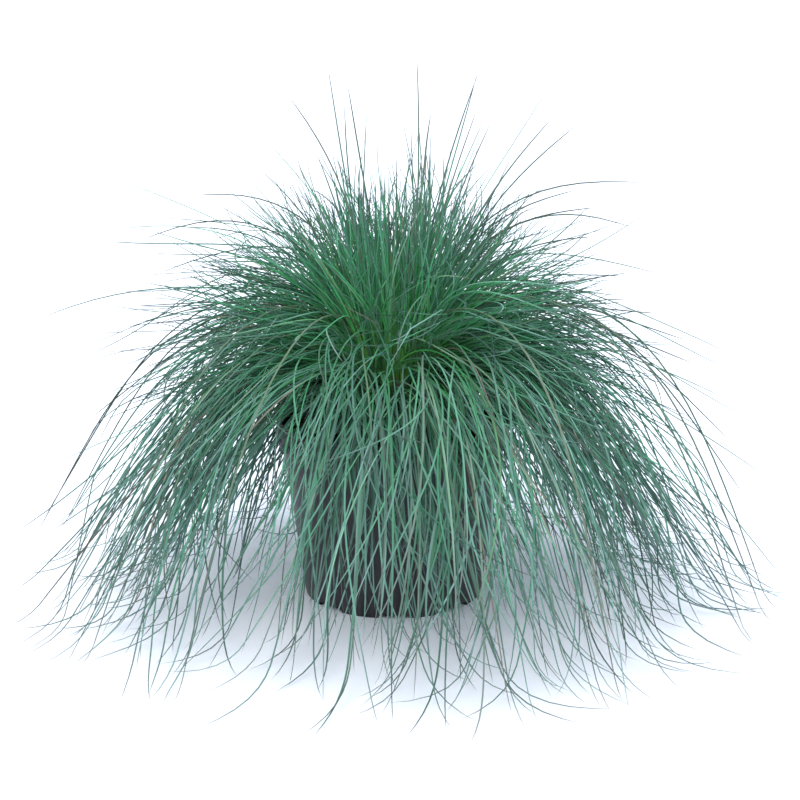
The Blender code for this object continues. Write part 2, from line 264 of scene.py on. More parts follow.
# The rings that strays leave from, with the lowest tip of each. A stray with its tip over HIGH_STRAY
# bends by HIGH_BEND, and a lower one by LOW_BEND.
STRAY_RINGS = (("centre", 0.280), ("inner", 0.215), ("middle", 0.130))
HIGH_STRAY = 0.225
HIGH_BEND = (2.2, 2.2)
LOW_BEND = (1.5, 4.0)
STRAY_FOOT = 0.4
STRAY_WIDTH = 0.00135
STRAY_TWIST = 0.2
STRAY_DRIFT_VARIES = 0.1
STRAY_SWAY_VARIES = 0.05
STRAY_BLOOM = (0.1, 0.4)
STRAY_DRYNESS = (0.1, 0.5)
STRAY_NUMBER = (0.2, 0.5)


def add_node(tree, kind, inputs=None, **settings):
    """A shader node with its settings, and values or links for its inputs."""
    made = tree.nodes.new("ShaderNode" + kind)
    for key, value in settings.items():
        setattr(made, key, value)
    for key, value in (inputs or {}).items():
        if isinstance(value, bpy.types.NodeSocket):
            tree.links.new(value, made.inputs[key])
        else:
            made.inputs[key].default_value = value
    return made


def mixed(tree, share, first, second, blend="MIX"):
    """Two colours mixed. A colour or a share may be a value or a socket."""
    made = tree.nodes.new("ShaderNodeMix")
    made.data_type = "RGBA"
    made.blend_type = blend
    # A colour mix uses inputs 0 (its share), 6 and 7 (its colours), and output 2.
    for number, value in ((0, share), (6, first), (7, second)):
        if isinstance(value, bpy.types.NodeSocket):
            tree.links.new(value, made.inputs[number])
        elif number == 0:
            made.inputs[number].default_value = value
        else:
            made.inputs[number].default_value = (*value, 1.0)
    return made.outputs[2]


def graded(tree, share, stops):
    """A colour from a ramp of (position, colour) stops."""
    made = add_node(tree, "ValToRGB", {"Fac": share})
    ramp = made.color_ramp
    while len(ramp.elements) < len(stops):
        ramp.elements.new(0.5)
    for element, (position, colour) in zip(ramp.elements, stops):
        element.position = position
        element.color = (*colour, 1.0)
    return made.outputs["Color"]


def ranged(tree, value, low, high, to_low=0.0, to_high=1.0):
    """A value mapped from one range to another, held at its ends."""
    inputs = {"Value": value, "From Min": low, "From Max": high, "To Min": to_low, "To Max": to_high}
    return add_node(tree, "MapRange", inputs).outputs["Result"]


def calculated(tree, operation, first, second):
    """One arithmetic step."""
    made = add_node(tree, "Math", {0: first, 1: second}, operation=operation)
    return made.outputs["Value"]


def rough_noise(tree, place, scale, detail=4.0, roughness=0.5):
    """Noise from 0 to 1 at a place."""
    inputs = {"Vector": place, "Scale": scale, "Detail": detail, "Roughness": roughness}
    return add_node(tree, "TexNoise", inputs).outputs["Fac"]


def new_material(name):
    """A material, its node tree and its Principled shader."""
    made = bpy.data.materials.new(name)
    made.use_nodes = True
    tree = made.node_tree
    return made, tree, tree.nodes["Principled BSDF"]


def object_place(tree):
    """The object's own coordinates, in metres."""
    return add_node(tree, "TexCoord").outputs["Object"]


def stretched(tree, place, scale):
    """A place scaled by a factor along each axis."""
    return add_node(tree, "Mapping", {"Vector": place, "Scale": scale}).outputs["Vector"]


def add_bump(tree, shader, height, strength, distance):
    """Small relief on a shader's normal."""
    inputs = {"Height": height, "Strength": strength, "Distance": distance}
    made = add_node(tree, "Bump", inputs)
    tree.links.new(made.outputs["Normal"], shader.inputs["Normal"])


def leaf_material(name):
    """Leaf blades: green at the foot, blue-green with a waxy bloom above, dull at the tip, straw when dry,
    some blades darker with painted shade.

    Each mesh gives place (over the width, along the blade, the blade's own number) and nature (waxy
    bloom, dryness, freshness).
    """
    made, tree, shader = new_material(name)
    place = add_node(tree, "Attribute", attribute_name="place").outputs["Vector"]
    nature = add_node(tree, "Attribute", attribute_name="nature").outputs["Vector"]
    _, along, number = add_node(tree, "SeparateXYZ", {"Vector": place}).outputs
    bloom, dry, fresh = add_node(tree, "SeparateXYZ", {"Vector": nature}).outputs

    old_leaf = graded(tree, along, (
        (0.00, (0.140, 0.330, 0.050)), (0.10, (0.042, 0.215, 0.075)), (0.36, (0.034, 0.190, 0.094)),
        (0.66, (0.042, 0.185, 0.106)), (0.86, (0.050, 0.120, 0.086)), (1.00, (0.044, 0.054, 0.046))))
    young_leaf = graded(tree, along, (
        (0.00, (0.400, 0.620, 0.060)), (0.16, (0.160, 0.580, 0.030)), (0.42, (0.062, 0.480, 0.088)),
        (0.76, (0.056, 0.355, 0.140)), (0.92, (0.052, 0.145, 0.092)), (1.00, (0.044, 0.054, 0.044))))
    dry_leaf = graded(tree, along, (
        (0.00, (0.260, 0.210, 0.110)), (0.45, (0.320, 0.255, 0.175)), (0.80, (0.270, 0.200, 0.165)),
        (1.00, (0.190, 0.135, 0.115))))
    colour = mixed(tree, fresh, old_leaf, young_leaf)

    streak_place = stretched(tree, place, (9.0, 5.0, 40.0))
    streaks = rough_noise(tree, streak_place, 1.0, 3.0, 0.6)
    patches = rough_noise(tree, stretched(tree, place, (0.6, 7.0, 90.0)), 1.0, 2.0, 0.5)
    wax = calculated(tree, "MULTIPLY", bloom, ranged(tree, patches, 0.30, 0.68, 0.25, 1.0))
    wax = calculated(tree, "MULTIPLY", wax, ranged(tree, along, 0.03, 0.28, 0.0, 1.0))
    colour = mixed(tree, wax, colour, (0.225, 0.380, 0.350))
    yellowing = calculated(tree, "ADD", dry, ranged(tree, patches, 0.62, 0.80, 0.0, 0.10))
    colour = mixed(tree, ranged(tree, yellowing, 0.0, 1.0), colour, dry_leaf)
    # Each blade's number sets its brightness. This is partly a random tone of its own and partly painted
    # shade, which darkens some blades as if they lay in shadow among the others.
    tone_and_painted_shade = ranged(tree, number, 0.0, 1.0, 0.35, 1.20)
    tone_and_painted_shade = calculated(tree, "MULTIPLY", tone_and_painted_shade, ranged(tree, streaks, 0.25, 0.75, 0.80, 1.20))
    grey = add_node(tree, "CombineXYZ", {"X": tone_and_painted_shade, "Y": tone_and_painted_shade, "Z": tone_and_painted_shade}).outputs["Vector"]
    colour = mixed(tree, 1.0, colour, grey, "MULTIPLY")
    tree.links.new(colour, shader.inputs["Base Color"])

    tree.links.new(ranged(tree, wax, 0.0, 0.8, 0.42, 0.68), shader.inputs["Roughness"])
    shader.inputs["Specular IOR Level"].default_value = 0.30
    shader.inputs["Sheen Weight"].default_value = 0.05
    shader.inputs["Sheen Roughness"].default_value = 0.45
    shader.inputs["Sheen Tint"].default_value = (0.80, 0.93, 0.95, 1.0)
    add_bump(tree, shader, streaks, 0.35, 0.0002)
    return made


def pot_material():
    """Black moulded plastic: satin, faintly grained, dusty near the ground, in patches and in specks."""
    made, tree, shader = new_material("dusty_black_plastic")
    place = object_place(tree)
    _, _, height = add_node(tree, "SeparateXYZ", {"Vector": place}).outputs
    cloudy = rough_noise(tree, place, 28.0, 5.0, 0.6)
    grain = rough_noise(tree, place, 900.0, 2.0, 0.5)
    runs = rough_noise(tree, stretched(tree, place, (160.0, 160.0, 9.0)), 1.0, 4.0, 0.65)
    specks = rough_noise(tree, place, 420.0, 2.0, 0.4)
    plastic = mixed(tree, cloudy, (0.006, 0.006, 0.008), (0.012, 0.011, 0.014))
    low = ranged(tree, height, 0.0, 0.045, 0.55, 0.10)
    dust = calculated(tree, "MULTIPLY", low, ranged(tree, runs, 0.42, 0.72))
    dust = calculated(tree, "ADD", dust, ranged(tree, cloudy, 0.60, 0.80, 0.0, 0.18))
    dust = calculated(tree, "ADD", dust, ranged(tree, specks, 0.70, 0.76, 0.0, 0.30))
    colour = mixed(tree, ranged(tree, dust, 0.0, 1.0), plastic, (0.080, 0.076, 0.072))
    tree.links.new(colour, shader.inputs["Base Color"])
    tree.links.new(ranged(tree, dust, 0.0, 0.6, 0.38, 0.78), shader.inputs["Roughness"])
    shader.inputs["Specular IOR Level"].default_value = 0.4
    add_bump(tree, shader, calculated(tree, "ADD", grain, runs), 0.12, 0.0003)
    return made


def soil_material():
    """Dark, moist peat mix."""
    made, tree, shader = new_material("moist_peat")
    place = object_place(tree)
    clods = rough_noise(tree, place, 130.0, 6.0, 0.65)
    fibres = rough_noise(tree, stretched(tree, place, (900.0, 240.0, 500.0)), 1.0, 3.0, 0.6)
    colour = graded(tree, clods, (
        (0.25, (0.010, 0.006, 0.004)), (0.50, (0.030, 0.018, 0.011)), (0.70, (0.062, 0.038, 0.022)),
        (0.85, (0.115, 0.080, 0.050))))
    colour = mixed(tree, ranged(tree, fibres, 0.62, 0.74, 0.0, 0.55), colour, (0.150, 0.100, 0.058))
    tree.links.new(colour, shader.inputs["Base Color"])
    tree.links.new(ranged(tree, clods, 0.3, 0.7, 0.72, 0.96), shader.inputs["Roughness"])
    add_bump(tree, shader, calculated(tree, "ADD", clods, fibres), 0.8, 0.0008)
    return made


def floor_material():
    """A pale matte studio floor."""
    made, tree, shader = new_material("pale_floor")
    faint = rough_noise(tree, object_place(tree), 3.0, 5.0, 0.6)
    colour = mixed(tree, faint, (0.885, 0.912, 0.965), (0.900, 0.925, 0.975))
    tree.links.new(colour, shader.inputs["Base Color"])
    tree.links.new(ranged(tree, faint, 0.3, 0.7, 0.75, 0.85), shader.inputs["Roughness"])
    shader.inputs["Specular IOR Level"].default_value = 0.2
    return made


def finish_piece(piece, look, slot, *nodes):
    """Give a piece its look and hide the nodes that it stands for. Its slot is not used. It rides on the
    one body.
    """
    piece.data.materials.append(look)
    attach(piece, "root")
    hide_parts(*nodes)
    return piece


def new_piece(name, mesh):
    """An object with this mesh in the scene."""
    made = bpy.data.objects.new(name, mesh)
    bpy.context.scene.collection.objects.link(made)
    return made


def rounded(corners):
    """A profile through (radius, height, fillet) corners, with each corner turned into a small curve."""
    spots = [Vector(corner[:2]) for corner in corners]
    points = [spots[0]]
    for before, spot, after, corner in zip(spots, spots[1:], spots[2:], corners[1:]):
        start = spot + (before - spot).normalized() * corner[2]
        end = spot + (after - spot).normalized() * corner[2]
        for step in range(FILLET_STEPS + 1):
            share = step / FILLET_STEPS
            points.append(start.lerp(spot, share).lerp(spot.lerp(end, share), share))
    return points + [spots[-1]]


def turned(name, profile, steps):
    """Turn a profile of (radius, height) points, from axis to axis, into a closed body about Z."""
    shape = bmesh.new()
    rows = [shape.verts.new((radius, 0.0, height)) for radius, height in profile]
    edges = [shape.edges.new(pair) for pair in zip(rows, rows[1:])]
    bmesh.ops.spin(shape, geom=rows + edges, cent=(0, 0, 0), axis=(0, 0, 1), angle=math.tau,
                   steps=steps, use_merge=True)
    bmesh.ops.remove_doubles(shape, verts=shape.verts, dist=WELD)
    bmesh.ops.recalc_face_normals(shape, faces=shape.faces)
    mesh = bpy.data.meshes.new(name)
    shape.to_mesh(mesh)
    shape.free()
    mesh.shade_smooth()
    return mesh


def wall_radius(height):
    """Outer radius of the pot's tapered wall, below the collar."""
    wall_top = RIM_RADIUS - COLLAR_STEP
    return BASE_RADIUS + (wall_top - BASE_RADIUS) * height / (POT_HEIGHT - COLLAR_HEIGHT)


def pot_profile():
    """Section of the pot: floor, foot ring, tapered wall, stepped collar and rolled lip."""
    ledge = POT_HEIGHT - COLLAR_HEIGHT
    collar = RIM_RADIUS - LIP_STEP
    under_lip = POT_HEIGHT - LIP_HEIGHT
    floor_top = FOOT_HEIGHT + WALL
    fine = LIP_STEP / 2
    return rounded((
        (0.0, FOOT_HEIGHT, 0.0),
        (BASE_RADIUS - FOOT_WIDTH, FOOT_HEIGHT, fine),
        (BASE_RADIUS - FOOT_WIDTH, 0.0, fine),
        (BASE_RADIUS, 0.0, 3 * fine),
        (wall_radius(ledge), ledge, 2 * fine),
        (collar - fine, ledge + fine, 2 * fine),
        (collar, under_lip, fine),
        (RIM_RADIUS, under_lip + fine, fine / 2),
        (RIM_RADIUS, POT_HEIGHT, 2 * fine),
        (RIM_RADIUS - WALL - LIP_STEP, POT_HEIGHT, 2 * fine),
        (RIM_RADIUS - WALL - LIP_STEP, under_lip, fine),
        (collar - fine - WALL, ledge + 2 * WALL, 2 * fine),
        (wall_radius(ledge) - WALL, ledge + WALL, 2 * fine),
        (wall_radius(floor_top) - WALL, floor_top, 4 * fine),
        (0.0, floor_top, 0.0),
    ))


def drain_cutter():
    """The gaps in the foot ring and the holes through the floor. It reaches past what it cuts."""
    shape = bmesh.new()
    for index in range(FOOT_GAPS):
        angle = math.tau * index / FOOT_GAPS - math.pi / 2
        place = Matrix.Rotation(angle, 4, "Z") @ Matrix.Translation((BASE_RADIUS, 0, 0))
        size = Matrix.Diagonal((4 * FOOT_WIDTH, FOOT_GAP_WIDTH, 2 * FOOT_GAP_HEIGHT, 1))
        bmesh.ops.create_cube(shape, size=1.0, matrix=place @ size)
    for index in range(DRAIN_HOLES):
        angle = math.tau * (index + 0.5) / DRAIN_HOLES
        place = Matrix.Rotation(angle, 4, "Z") @ Matrix.Translation((DRAIN_CIRCLE, 0, FOOT_HEIGHT))
        bmesh.ops.create_cone(shape, cap_ends=True, segments=DRAIN_STEPS, radius1=DRAIN_RADIUS,
                              radius2=DRAIN_RADIUS, depth=6 * WALL, matrix=place)
    mesh = bpy.data.meshes.new("drain_cutter")
    shape.to_mesh(mesh)
    shape.free()
    return new_piece("drain_cutter", mesh)


def make_pot():
    """The nursery pot, with its drainage cut out."""
    pot = new_piece("nursery_pot", turned("nursery_pot", pot_profile(), POT_STEPS))
    cutter = drain_cutter()
    cut = pot.modifiers.new("drainage", "BOOLEAN")
    cut.operation = "DIFFERENCE"
    cut.object = cutter
    cut_mesh = bpy.data.meshes.new_from_object(pot.evaluated_get(bpy.context.evaluated_depsgraph_get()))
    pot.modifiers.clear()
    bpy.data.objects.remove(cutter, do_unlink=True)
    pot.data = cut_mesh
    pot.data.set_sharp_from_angle(angle=POT_EDGE)
    finish_piece(pot, pot_material(), "pot_plastic", "pot")


def make_soil(look, chance):
    """Potting mix: lumpy on top, with loose crumbs lying on it."""
    ledge = POT_HEIGHT - COLLAR_HEIGHT
    floor_top = FOOT_HEIGHT + WALL
    side = RIM_RADIUS - LIP_STEP - WALL - SOIL_GAP - LIP_STEP / 2
    profile = [
        (0.0, floor_top + SOIL_GAP),
        (wall_radius(floor_top) - WALL - 2 * SOIL_GAP, floor_top + SOIL_GAP),
        (wall_radius(ledge) - WALL - SOIL_GAP, ledge + WALL),
        (side, ledge + 2 * WALL + 2 * SOIL_GAP),
    ]
    profile += [(side * (1 - ring / SOIL_RINGS), SOIL_LEVEL) for ring in range(SOIL_RINGS + 1)]
    mesh = turned("potting_soil", profile, SOIL_STEPS)
    for vertex in mesh.vertices:
        if vertex.co.z > SOIL_LEVEL - LEVEL_MARGIN:
            lumps = noise.fractal(vertex.co * LUMPS_PER_METRE, *SOIL_NOISE)
            vertex.co.z += SOIL_LUMPS * lumps
    shape = bmesh.new()
    shape.from_mesh(mesh)
    for _ in range(CRUMBS):
        radius = side * math.sqrt(chance.uniform(*CRUMB_SPREAD))
        angle = chance.uniform(0, math.tau)
        size = chance.uniform(*CRUMB_SIZES)
        spot = Vector((radius * math.cos(angle), radius * math.sin(angle), SOIL_LEVEL + SOIL_LUMPS / 2))
        crumb = bmesh.ops.create_icosphere(shape, subdivisions=1, radius=size,
                                           matrix=Matrix.Translation(spot))
        for vertex in crumb["verts"]:
            vertex.co += (vertex.co - spot) * chance.uniform(*CRUMB_DENTS)
    shape.to_mesh(mesh)
    shape.free()
    finish_piece(new_piece("potting_soil", mesh), look, "potting_soil", "soil")


def make_crown(look, chance):
    """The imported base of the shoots: a fibrous dome, with the stubs of old sheaths standing on it."""
    profile = [(0.0, SOIL_LEVEL)]
    for ring in range(CROWN_RINGS + 1):
        slope = math.pi / 2 * (1 - ring / CROWN_RINGS)
        profile.append((CROWN_RADIUS * math.sin(slope), SOIL_LEVEL + CROWN_HEIGHT * math.cos(slope)))
    mesh = turned("crown_base", profile, CROWN_STEPS)
    for vertex in mesh.vertices:
        if vertex.co.z > SOIL_LEVEL + LEVEL_MARGIN:
            ribs = noise.fractal(vertex.co * Vector(RIBS_PER_METRE), *CROWN_NOISE)
            vertex.co += vertex.co.normalized() * CROWN_RIBS * ribs
    place = np.zeros((len(mesh.vertices), 3))
    place[:, 1] = CROWN_ALONG
    place[:, 2] = chance.random(len(place))
    set_vectors(mesh, "place", place)
    set_vectors(mesh, "nature", np.full((len(mesh.vertices), 3), CROWN_NATURE))
    finish_piece(new_piece("crown_base", mesh), look, "shoot_bases", "crown")

    share = np.sqrt(chance.random(SHEATHS))
    azimuth = chance.uniform(0, math.tau, SHEATHS)
    slope = np.arcsin(np.clip(share, 0, SHEATH_EDGE))
    radius = (CROWN_RADIUS - FOOT_SINK) * np.sin(slope)
    lean = slope * SHEATH_LEAN
    stubs = {
        "foot": on_crown(radius, azimuth),
        "azimuth": azimuth + chance.normal(0, SHEATH_TURN_VARIES, SHEATHS),
        "lean": lean,
        "tip_lean": lean + chance.uniform(0, SHEATH_OPENS, SHEATHS),
        "length": chance.uniform(*SHEATH_LENGTHS, SHEATHS),
        "bend_in": np.full(SHEATHS, SHEATH_BEND),
        "bend_out": np.full(SHEATHS, SHEATH_BEND),
        "drift": chance.normal(0, SHEATH_DRIFT_VARIES, SHEATHS),
        "kink": np.zeros(SHEATHS),
        "kink_at": np.ones(SHEATHS),
        "sway": np.zeros(SHEATHS),
        "sway_from": np.zeros(SHEATHS),
        "width": chance.uniform(*SHEATH_WIDTHS, SHEATHS),
        "twist": chance.uniform(-1, 1, SHEATHS),
        "bloom": np.zeros(SHEATHS),
        "dry": chance.uniform(*SHEATH_DRYNESS, SHEATHS),
        "fresh": chance.uniform(*SHEATH_FRESHNESS, SHEATHS),
        "number": chance.random(SHEATHS),
    }
    stub_mesh = blade_mesh("old_sheaths", stubs, SHEATH_SECTIONS)
    finish_piece(new_piece("old_sheaths", stub_mesh), look, "shoot_bases", "crown")


def on_crown(radius, azimuth):
    """Places just under the crown's surface."""
    height = SOIL_LEVEL + CROWN_HEIGHT * np.sqrt(1 - (radius / CROWN_RADIUS) ** 2) - FOOT_SINK
    return np.stack([radius * np.cos(azimuth), radius * np.sin(azimuth), height], -1)


def shoot_azimuths(habit, chance):
    """Where a habit's shoots stand round the crown, spread evenly by its density on each side.

    Each side has one lobe, and the corners four small ones, with the same area for each shoot.
    """
    count = habit.right + habit.left + habit.front + habit.back + habit.corners
    grid = np.linspace(0, math.tau, AZIMUTH_STEPS + 1)
    density = habit.right * np.maximum(0, np.cos(grid)) ** SIDE_LOBE
    density += habit.left * np.maximum(0, -np.cos(grid)) ** SIDE_LOBE
    density += habit.back * np.maximum(0, np.sin(grid)) ** SIDE_LOBE
    density += habit.front * np.maximum(0, -np.sin(grid)) ** SIDE_LOBE
    density += habit.corners * np.sin(2 * grid) ** 2 * CORNER_AREA
    summed = np.concatenate([[0], np.cumsum(density[1:] + density[:-1])])
    wanted = (np.arange(count) + chance.random(count)) / count * summed[-1]
    return np.interp(wanted, summed, grid)


def natures(ring, shoots, blades, chance):
    """Waxy bloom, dryness and freshness of blades, alike within a shoot, and a number of their own."""
    count = shoots * blades

    def varied(name, middle):
        values = np.repeat(middle + chance.normal(0, SHOOTS_DIFFER, shoots), blades)
        return np.clip(values + chance.normal(0, BLADES_DIFFER[name], count), 0, 1)

    dry = np.where(chance.random(count) < DRY_SHARE, chance.uniform(*DRYNESS, count), 0.0)
    tinged = np.where(chance.random(count) < TINGED_SHARE, chance.uniform(*TINGE, count), 0.0)
    return {
        "bloom": varied("bloom", BLOOM[ring]),
        "dry": np.maximum(dry, tinged),
        "fresh": varied("fresh", FRESHNESS[ring]),
        "number": varied("number", 0.5),
    }


def parted(heading):
    """Headings turned aside from the parting, where the clump's front left opens beside the pot."""
    away = (heading - PARTING_AT + math.pi) % math.tau - math.pi
    return heading + np.sign(away) * PARTING_TURN * np.exp(-(away / PARTING_WIDTH) ** 2)


def grow(habit, chance):
    """The blades of one habit: shoots round the crown, each a narrow fan of blades."""
    shoot = shoot_azimuths(habit, chance)
    shoots = len(shoot)
    count = shoots * BLADES_PER_SHOOT

    def fanned(values, spread):
        return np.repeat(values, BLADES_PER_SHOOT) + chance.normal(0, spread, count)

    foot = np.clip(habit.foot + chance.normal(0, FOOT_VARIES, shoots), LEAST_FOOT, 1)
    radius = fanned(FOOT_CIRCLE * np.sqrt(foot), FOOT_RADIUS_VARIES)
    stand = np.repeat(shoot, BLADES_PER_SHOOT)
    heading = fanned(shoot + chance.normal(0, FAN[habit.ring], shoots), FAN[habit.ring])
    heading += np.where(chance.random(count) < WILD_SHARE, chance.normal(0, WILD_TURN, count), 0)
    if habit.ring == "outer" and habit.bend[1] > PARTED_BEND:
        heading = parted(heading)
    lean = fanned(habit.lean + chance.normal(0, LEAN_VARIES, shoots), LEAN_VARIES)
    tip_lean = fanned(habit.tip_lean + chance.normal(0, TIP_LEAN_VARIES, shoots), TIP_LEAN_VARIES)
    full = np.repeat(habit.length * (1 + chance.normal(0, LENGTH_VARIES, shoots)), BLADES_PER_SHOOT)
    share = chance.uniform(*BLADE_LENGTHS, count)
    share *= np.where(chance.random(count) < LONG_SHARE, chance.uniform(*LONGER_BY, count), 1)
    kinked = chance.random(count) < KINK_SHARE
    radius = np.clip(radius, 0, CROWN_RADIUS - FOOT_SINK)
    # A longer blade droops further.
    tip_lean = lean + (tip_lean - lean) * (1 - LENGTH_DROOPS + LENGTH_DROOPS * share)
    blades = {
        "foot": on_crown(radius, stand),
        "azimuth": heading,
        "lean": np.radians(lean),
        "tip_lean": np.minimum(np.radians(tip_lean), MOST_DROOP),
        "length": full * share,
        "bend_in": habit.bend[0] * chance.uniform(*BEND_IN_TIMES, count),
        "bend_out": habit.bend[1] * chance.uniform(*BEND_OUT_TIMES, count),
        "drift": chance.normal(0, DRIFT_VARIES, count),
        "kink": np.where(kinked, np.radians(chance.uniform(*KINKS, count)), 0.0),
        "kink_at": chance.uniform(*KINK_PLACES, count),
        "sway": np.clip(chance.normal(0, SWAY, count), -2 * SWAY, 2 * SWAY),
        "sway_from": chance.uniform(0, math.tau, count),
        "width": chance.uniform(*WIDTHS[habit.ring], count),
        "twist": chance.normal(0, TWIST_VARIES, count),
    }
    blades.update(natures(habit.ring, shoots, BLADES_PER_SHOOT, chance))
    return blades


def stray_ring(stray):
    """The ring of tufts that a stray blade leaves from, by its tip's height."""
    for ring, lowest in STRAY_RINGS:
        if stray.up >= lowest:
            return ring
    return "outer"


def droop_to(lean, target, bend):
    """The tip lean that brings a blade's tip to a target angle from the vertical, seen from its foot.

    Also gives the straight distance from foot to tip, as a share of the blade's length.
    """
    along = (np.arange(TRACE_STEPS) + 0.5) / TRACE_STEPS
    share = 1 - (1 - along ** bend[0]) ** bend[1]
    least, most = lean - math.pi / 2, math.pi
    for _ in range(DROOP_ROUNDS):
        middle = (least + most) / 2
        angles = lean + (middle - lean) * share
        across, up = np.sin(angles).mean(), np.cos(angles).mean()
        if math.atan2(across, up) < target:
            least = middle
        else:
            most = middle
    return middle, math.hypot(across, up)


def stray_blade(stray, chance):
    """A single blade that ends at a stated tip."""
    tip = Vector((stray.right, stray.back, stray.up))
    azimuth = math.atan2(tip.y, tip.x)
    radius = FOOT_CIRCLE * STRAY_FOOT
    foot = Vector(on_crown(radius, azimuth))
    way = tip - foot
    target = math.atan2(math.hypot(tip.x, tip.y) - radius, way.z)
    lean = math.radians(stray.lean)
    bend = HIGH_BEND if stray.up > HIGH_STRAY else LOW_BEND
    tip_lean, share = droop_to(lean, target, bend)
    values = {
        "foot": foot, "azimuth": azimuth, "lean": lean, "tip_lean": tip_lean,
        "length": way.length / share, "bend_in": bend[0], "bend_out": bend[1],
        "drift": chance.normal(0, STRAY_DRIFT_VARIES), "kink": 0.0, "kink_at": 1.0,
        "sway": chance.normal(0, STRAY_SWAY_VARIES), "sway_from": chance.uniform(0, math.tau),
        "width": STRAY_WIDTH, "twist": STRAY_TWIST,
    }
    blade = {key: np.array([value], float) for key, value in values.items()}
    blade.update(natures(stray_ring(stray), 1, 1, chance))
    blade["bloom"] = chance.uniform(*STRAY_BLOOM, 1)
    blade["dry"] = chance.uniform(*STRAY_DRYNESS, 1)
    blade["fresh"] = np.zeros(1)
    blade["number"] = chance.uniform(*STRAY_NUMBER, 1)
    return blade


def joined(groups):
    """Several sets of blades as one."""
    return {key: np.concatenate([group[key] for group in groups]) for key in groups[0]}


def trace(blades, share, steps):
    """Centre lines: points of each blade from foot to tip, and the heading at each of them.

    A blade bends from its lean at the foot to the lean at its tip. It hangs clear of the pot, and near
    the floor it levels out and lies down.
    """
    spot = blades["foot"].copy()
    points = [spot]
    headings = [blades["azimuth"]]
    length = blades["length"] * share / steps
    for step in range(steps):
        along = np.minimum((step + 0.5) / steps * share, 1)
        bent = 1 - (1 - along ** blades["bend_in"]) ** blades["bend_out"]
        lean = blades["lean"] + (blades["tip_lean"] - blades["lean"]) * bent
        lean = lean + np.where(along > blades["kink_at"], blades["kink"], 0)
        swing = blades["sway"] * np.sin(blades["sway_from"] + SWAY_TURNS * along)
        lean = lean + swing * along
        height = np.maximum(spot[:, 2] - FLOOR_CLEARANCE, 0)
        landing = (lean > math.pi / 2) & (height < LANDING)
        lean = np.where(landing, math.pi / 2 + (lean - math.pi / 2) * height / LANDING, lean)
        heading = blades["azimuth"] + blades["drift"] * along ** 2 + SWAY_SIDEWAYS * swing
        way = np.stack([np.sin(lean) * np.cos(heading), np.sin(lean) * np.sin(heading), np.cos(lean)], -1)
        spot = spot + way * length[:, None]
        spot[:, 2] = np.maximum(spot[:, 2], FLOOR_CLEARANCE)
        radius = np.hypot(spot[:, 0], spot[:, 1])
        rise = np.clip(spot[:, 2] / (POT_HEIGHT - COLLAR_HEIGHT), 0, 1)
        least = BASE_RADIUS + (RIM_RADIUS - BASE_RADIUS) * rise + POT_CLEARANCE
        inside = (spot[:, 2] < POT_HEIGHT + POT_CLEARANCE) & (radius < least)
        inside &= radius > PUSHED_FROM
        spot[:, :2] *= np.where(inside, least / np.maximum(radius, FLOOR_CLEARANCE), 1)[:, None]
        points.append(spot)
        headings.append(heading)
    return np.stack(points, 1), np.stack(headings, 1)


def lying_share(blades, chance):
    """The share of each blade that is grown: it ends soon after it meets the floor, or inside REACH."""
    steps = TRACE_STEPS // 2
    points, _ = trace(blades, np.ones(len(blades["length"])), steps)
    low = points[:, :, 2] < TOUCH_HEIGHT
    touch = np.where(low.any(1), low.argmax(1) / steps, 1.0)
    lying = LYING_LENGTH * chance.random(len(touch)) / blades["length"]
    far = np.hypot(points[:, :, 0] / REACH[0], points[:, :, 1] / REACH[1]) > 1
    reach = np.where(far.any(1), (far.argmax(1) - chance.random(len(far))) / steps, 1.0)
    return np.minimum(np.minimum(touch + np.where(touch < 1, lying, 0), 1), reach)


def picked(values, stations):
    """Values along fine centre lines, read at each blade's own stations."""
    last = values.shape[1] - 1
    lower = np.clip(np.floor(stations).astype(int), 0, last - 1)
    part = stations - lower
    rows = np.arange(len(values))[:, None]
    if values.ndim == 3:
        part = part[..., None]
    return values[rows, lower] * (1 - part) + values[rows, lower + 1] * part


def section_stations(points, sections):
    """Places of each blade's sections on its centre line: close together where it bends."""
    ways = np.diff(points, axis=1)
    lengths = np.linalg.norm(ways, axis=2)
    units = ways / np.maximum(lengths, TINY)[..., None]
    turns = np.arccos(np.clip((units[:, 1:] * units[:, :-1]).sum(2), -1, 1))
    turns = np.concatenate([turns, turns[:, -1:]], 1)
    weights = lengths + BEND_PULL * turns
    summed = np.concatenate([np.zeros((len(points), 1)), np.cumsum(weights, 1)], 1)
    wanted = np.linspace(0, 1, sections + 1)
    steps = np.arange(points.shape[1])
    return np.stack([np.interp(wanted * total[-1], total, steps) for total in summed])


def set_vectors(mesh, name, values):
    """A vector for each vertex."""
    layer = mesh.attributes.new(name, "FLOAT_VECTOR", "POINT")
    layer.data.foreach_set("vector", np.asarray(values, np.float32).ravel())


def blade_faces(count, sections):
    """Faces of closed blades: walls between sections, two faces at the foot and a point at the tip."""
    size = 4 * sections + 1
    one = []
    for row in range(sections - 1):
        for corner in range(4):
            after = (corner + 1) % 4
            near, far = 4 * row, 4 * row + 4
            one.append((near + corner, near + after, far + after, far + corner))
    last = 4 * (sections - 1)
    tips = [(last + corner, last + (corner + 1) % 4, size - 1) for corner in range(4)]
    foot = [(0, 3, 1), (1, 3, 2)]
    faces = []
    for blade in range(count):
        start = size * blade
        faces += [tuple(start + corner for corner in face) for face in one + tips + foot]
    return faces


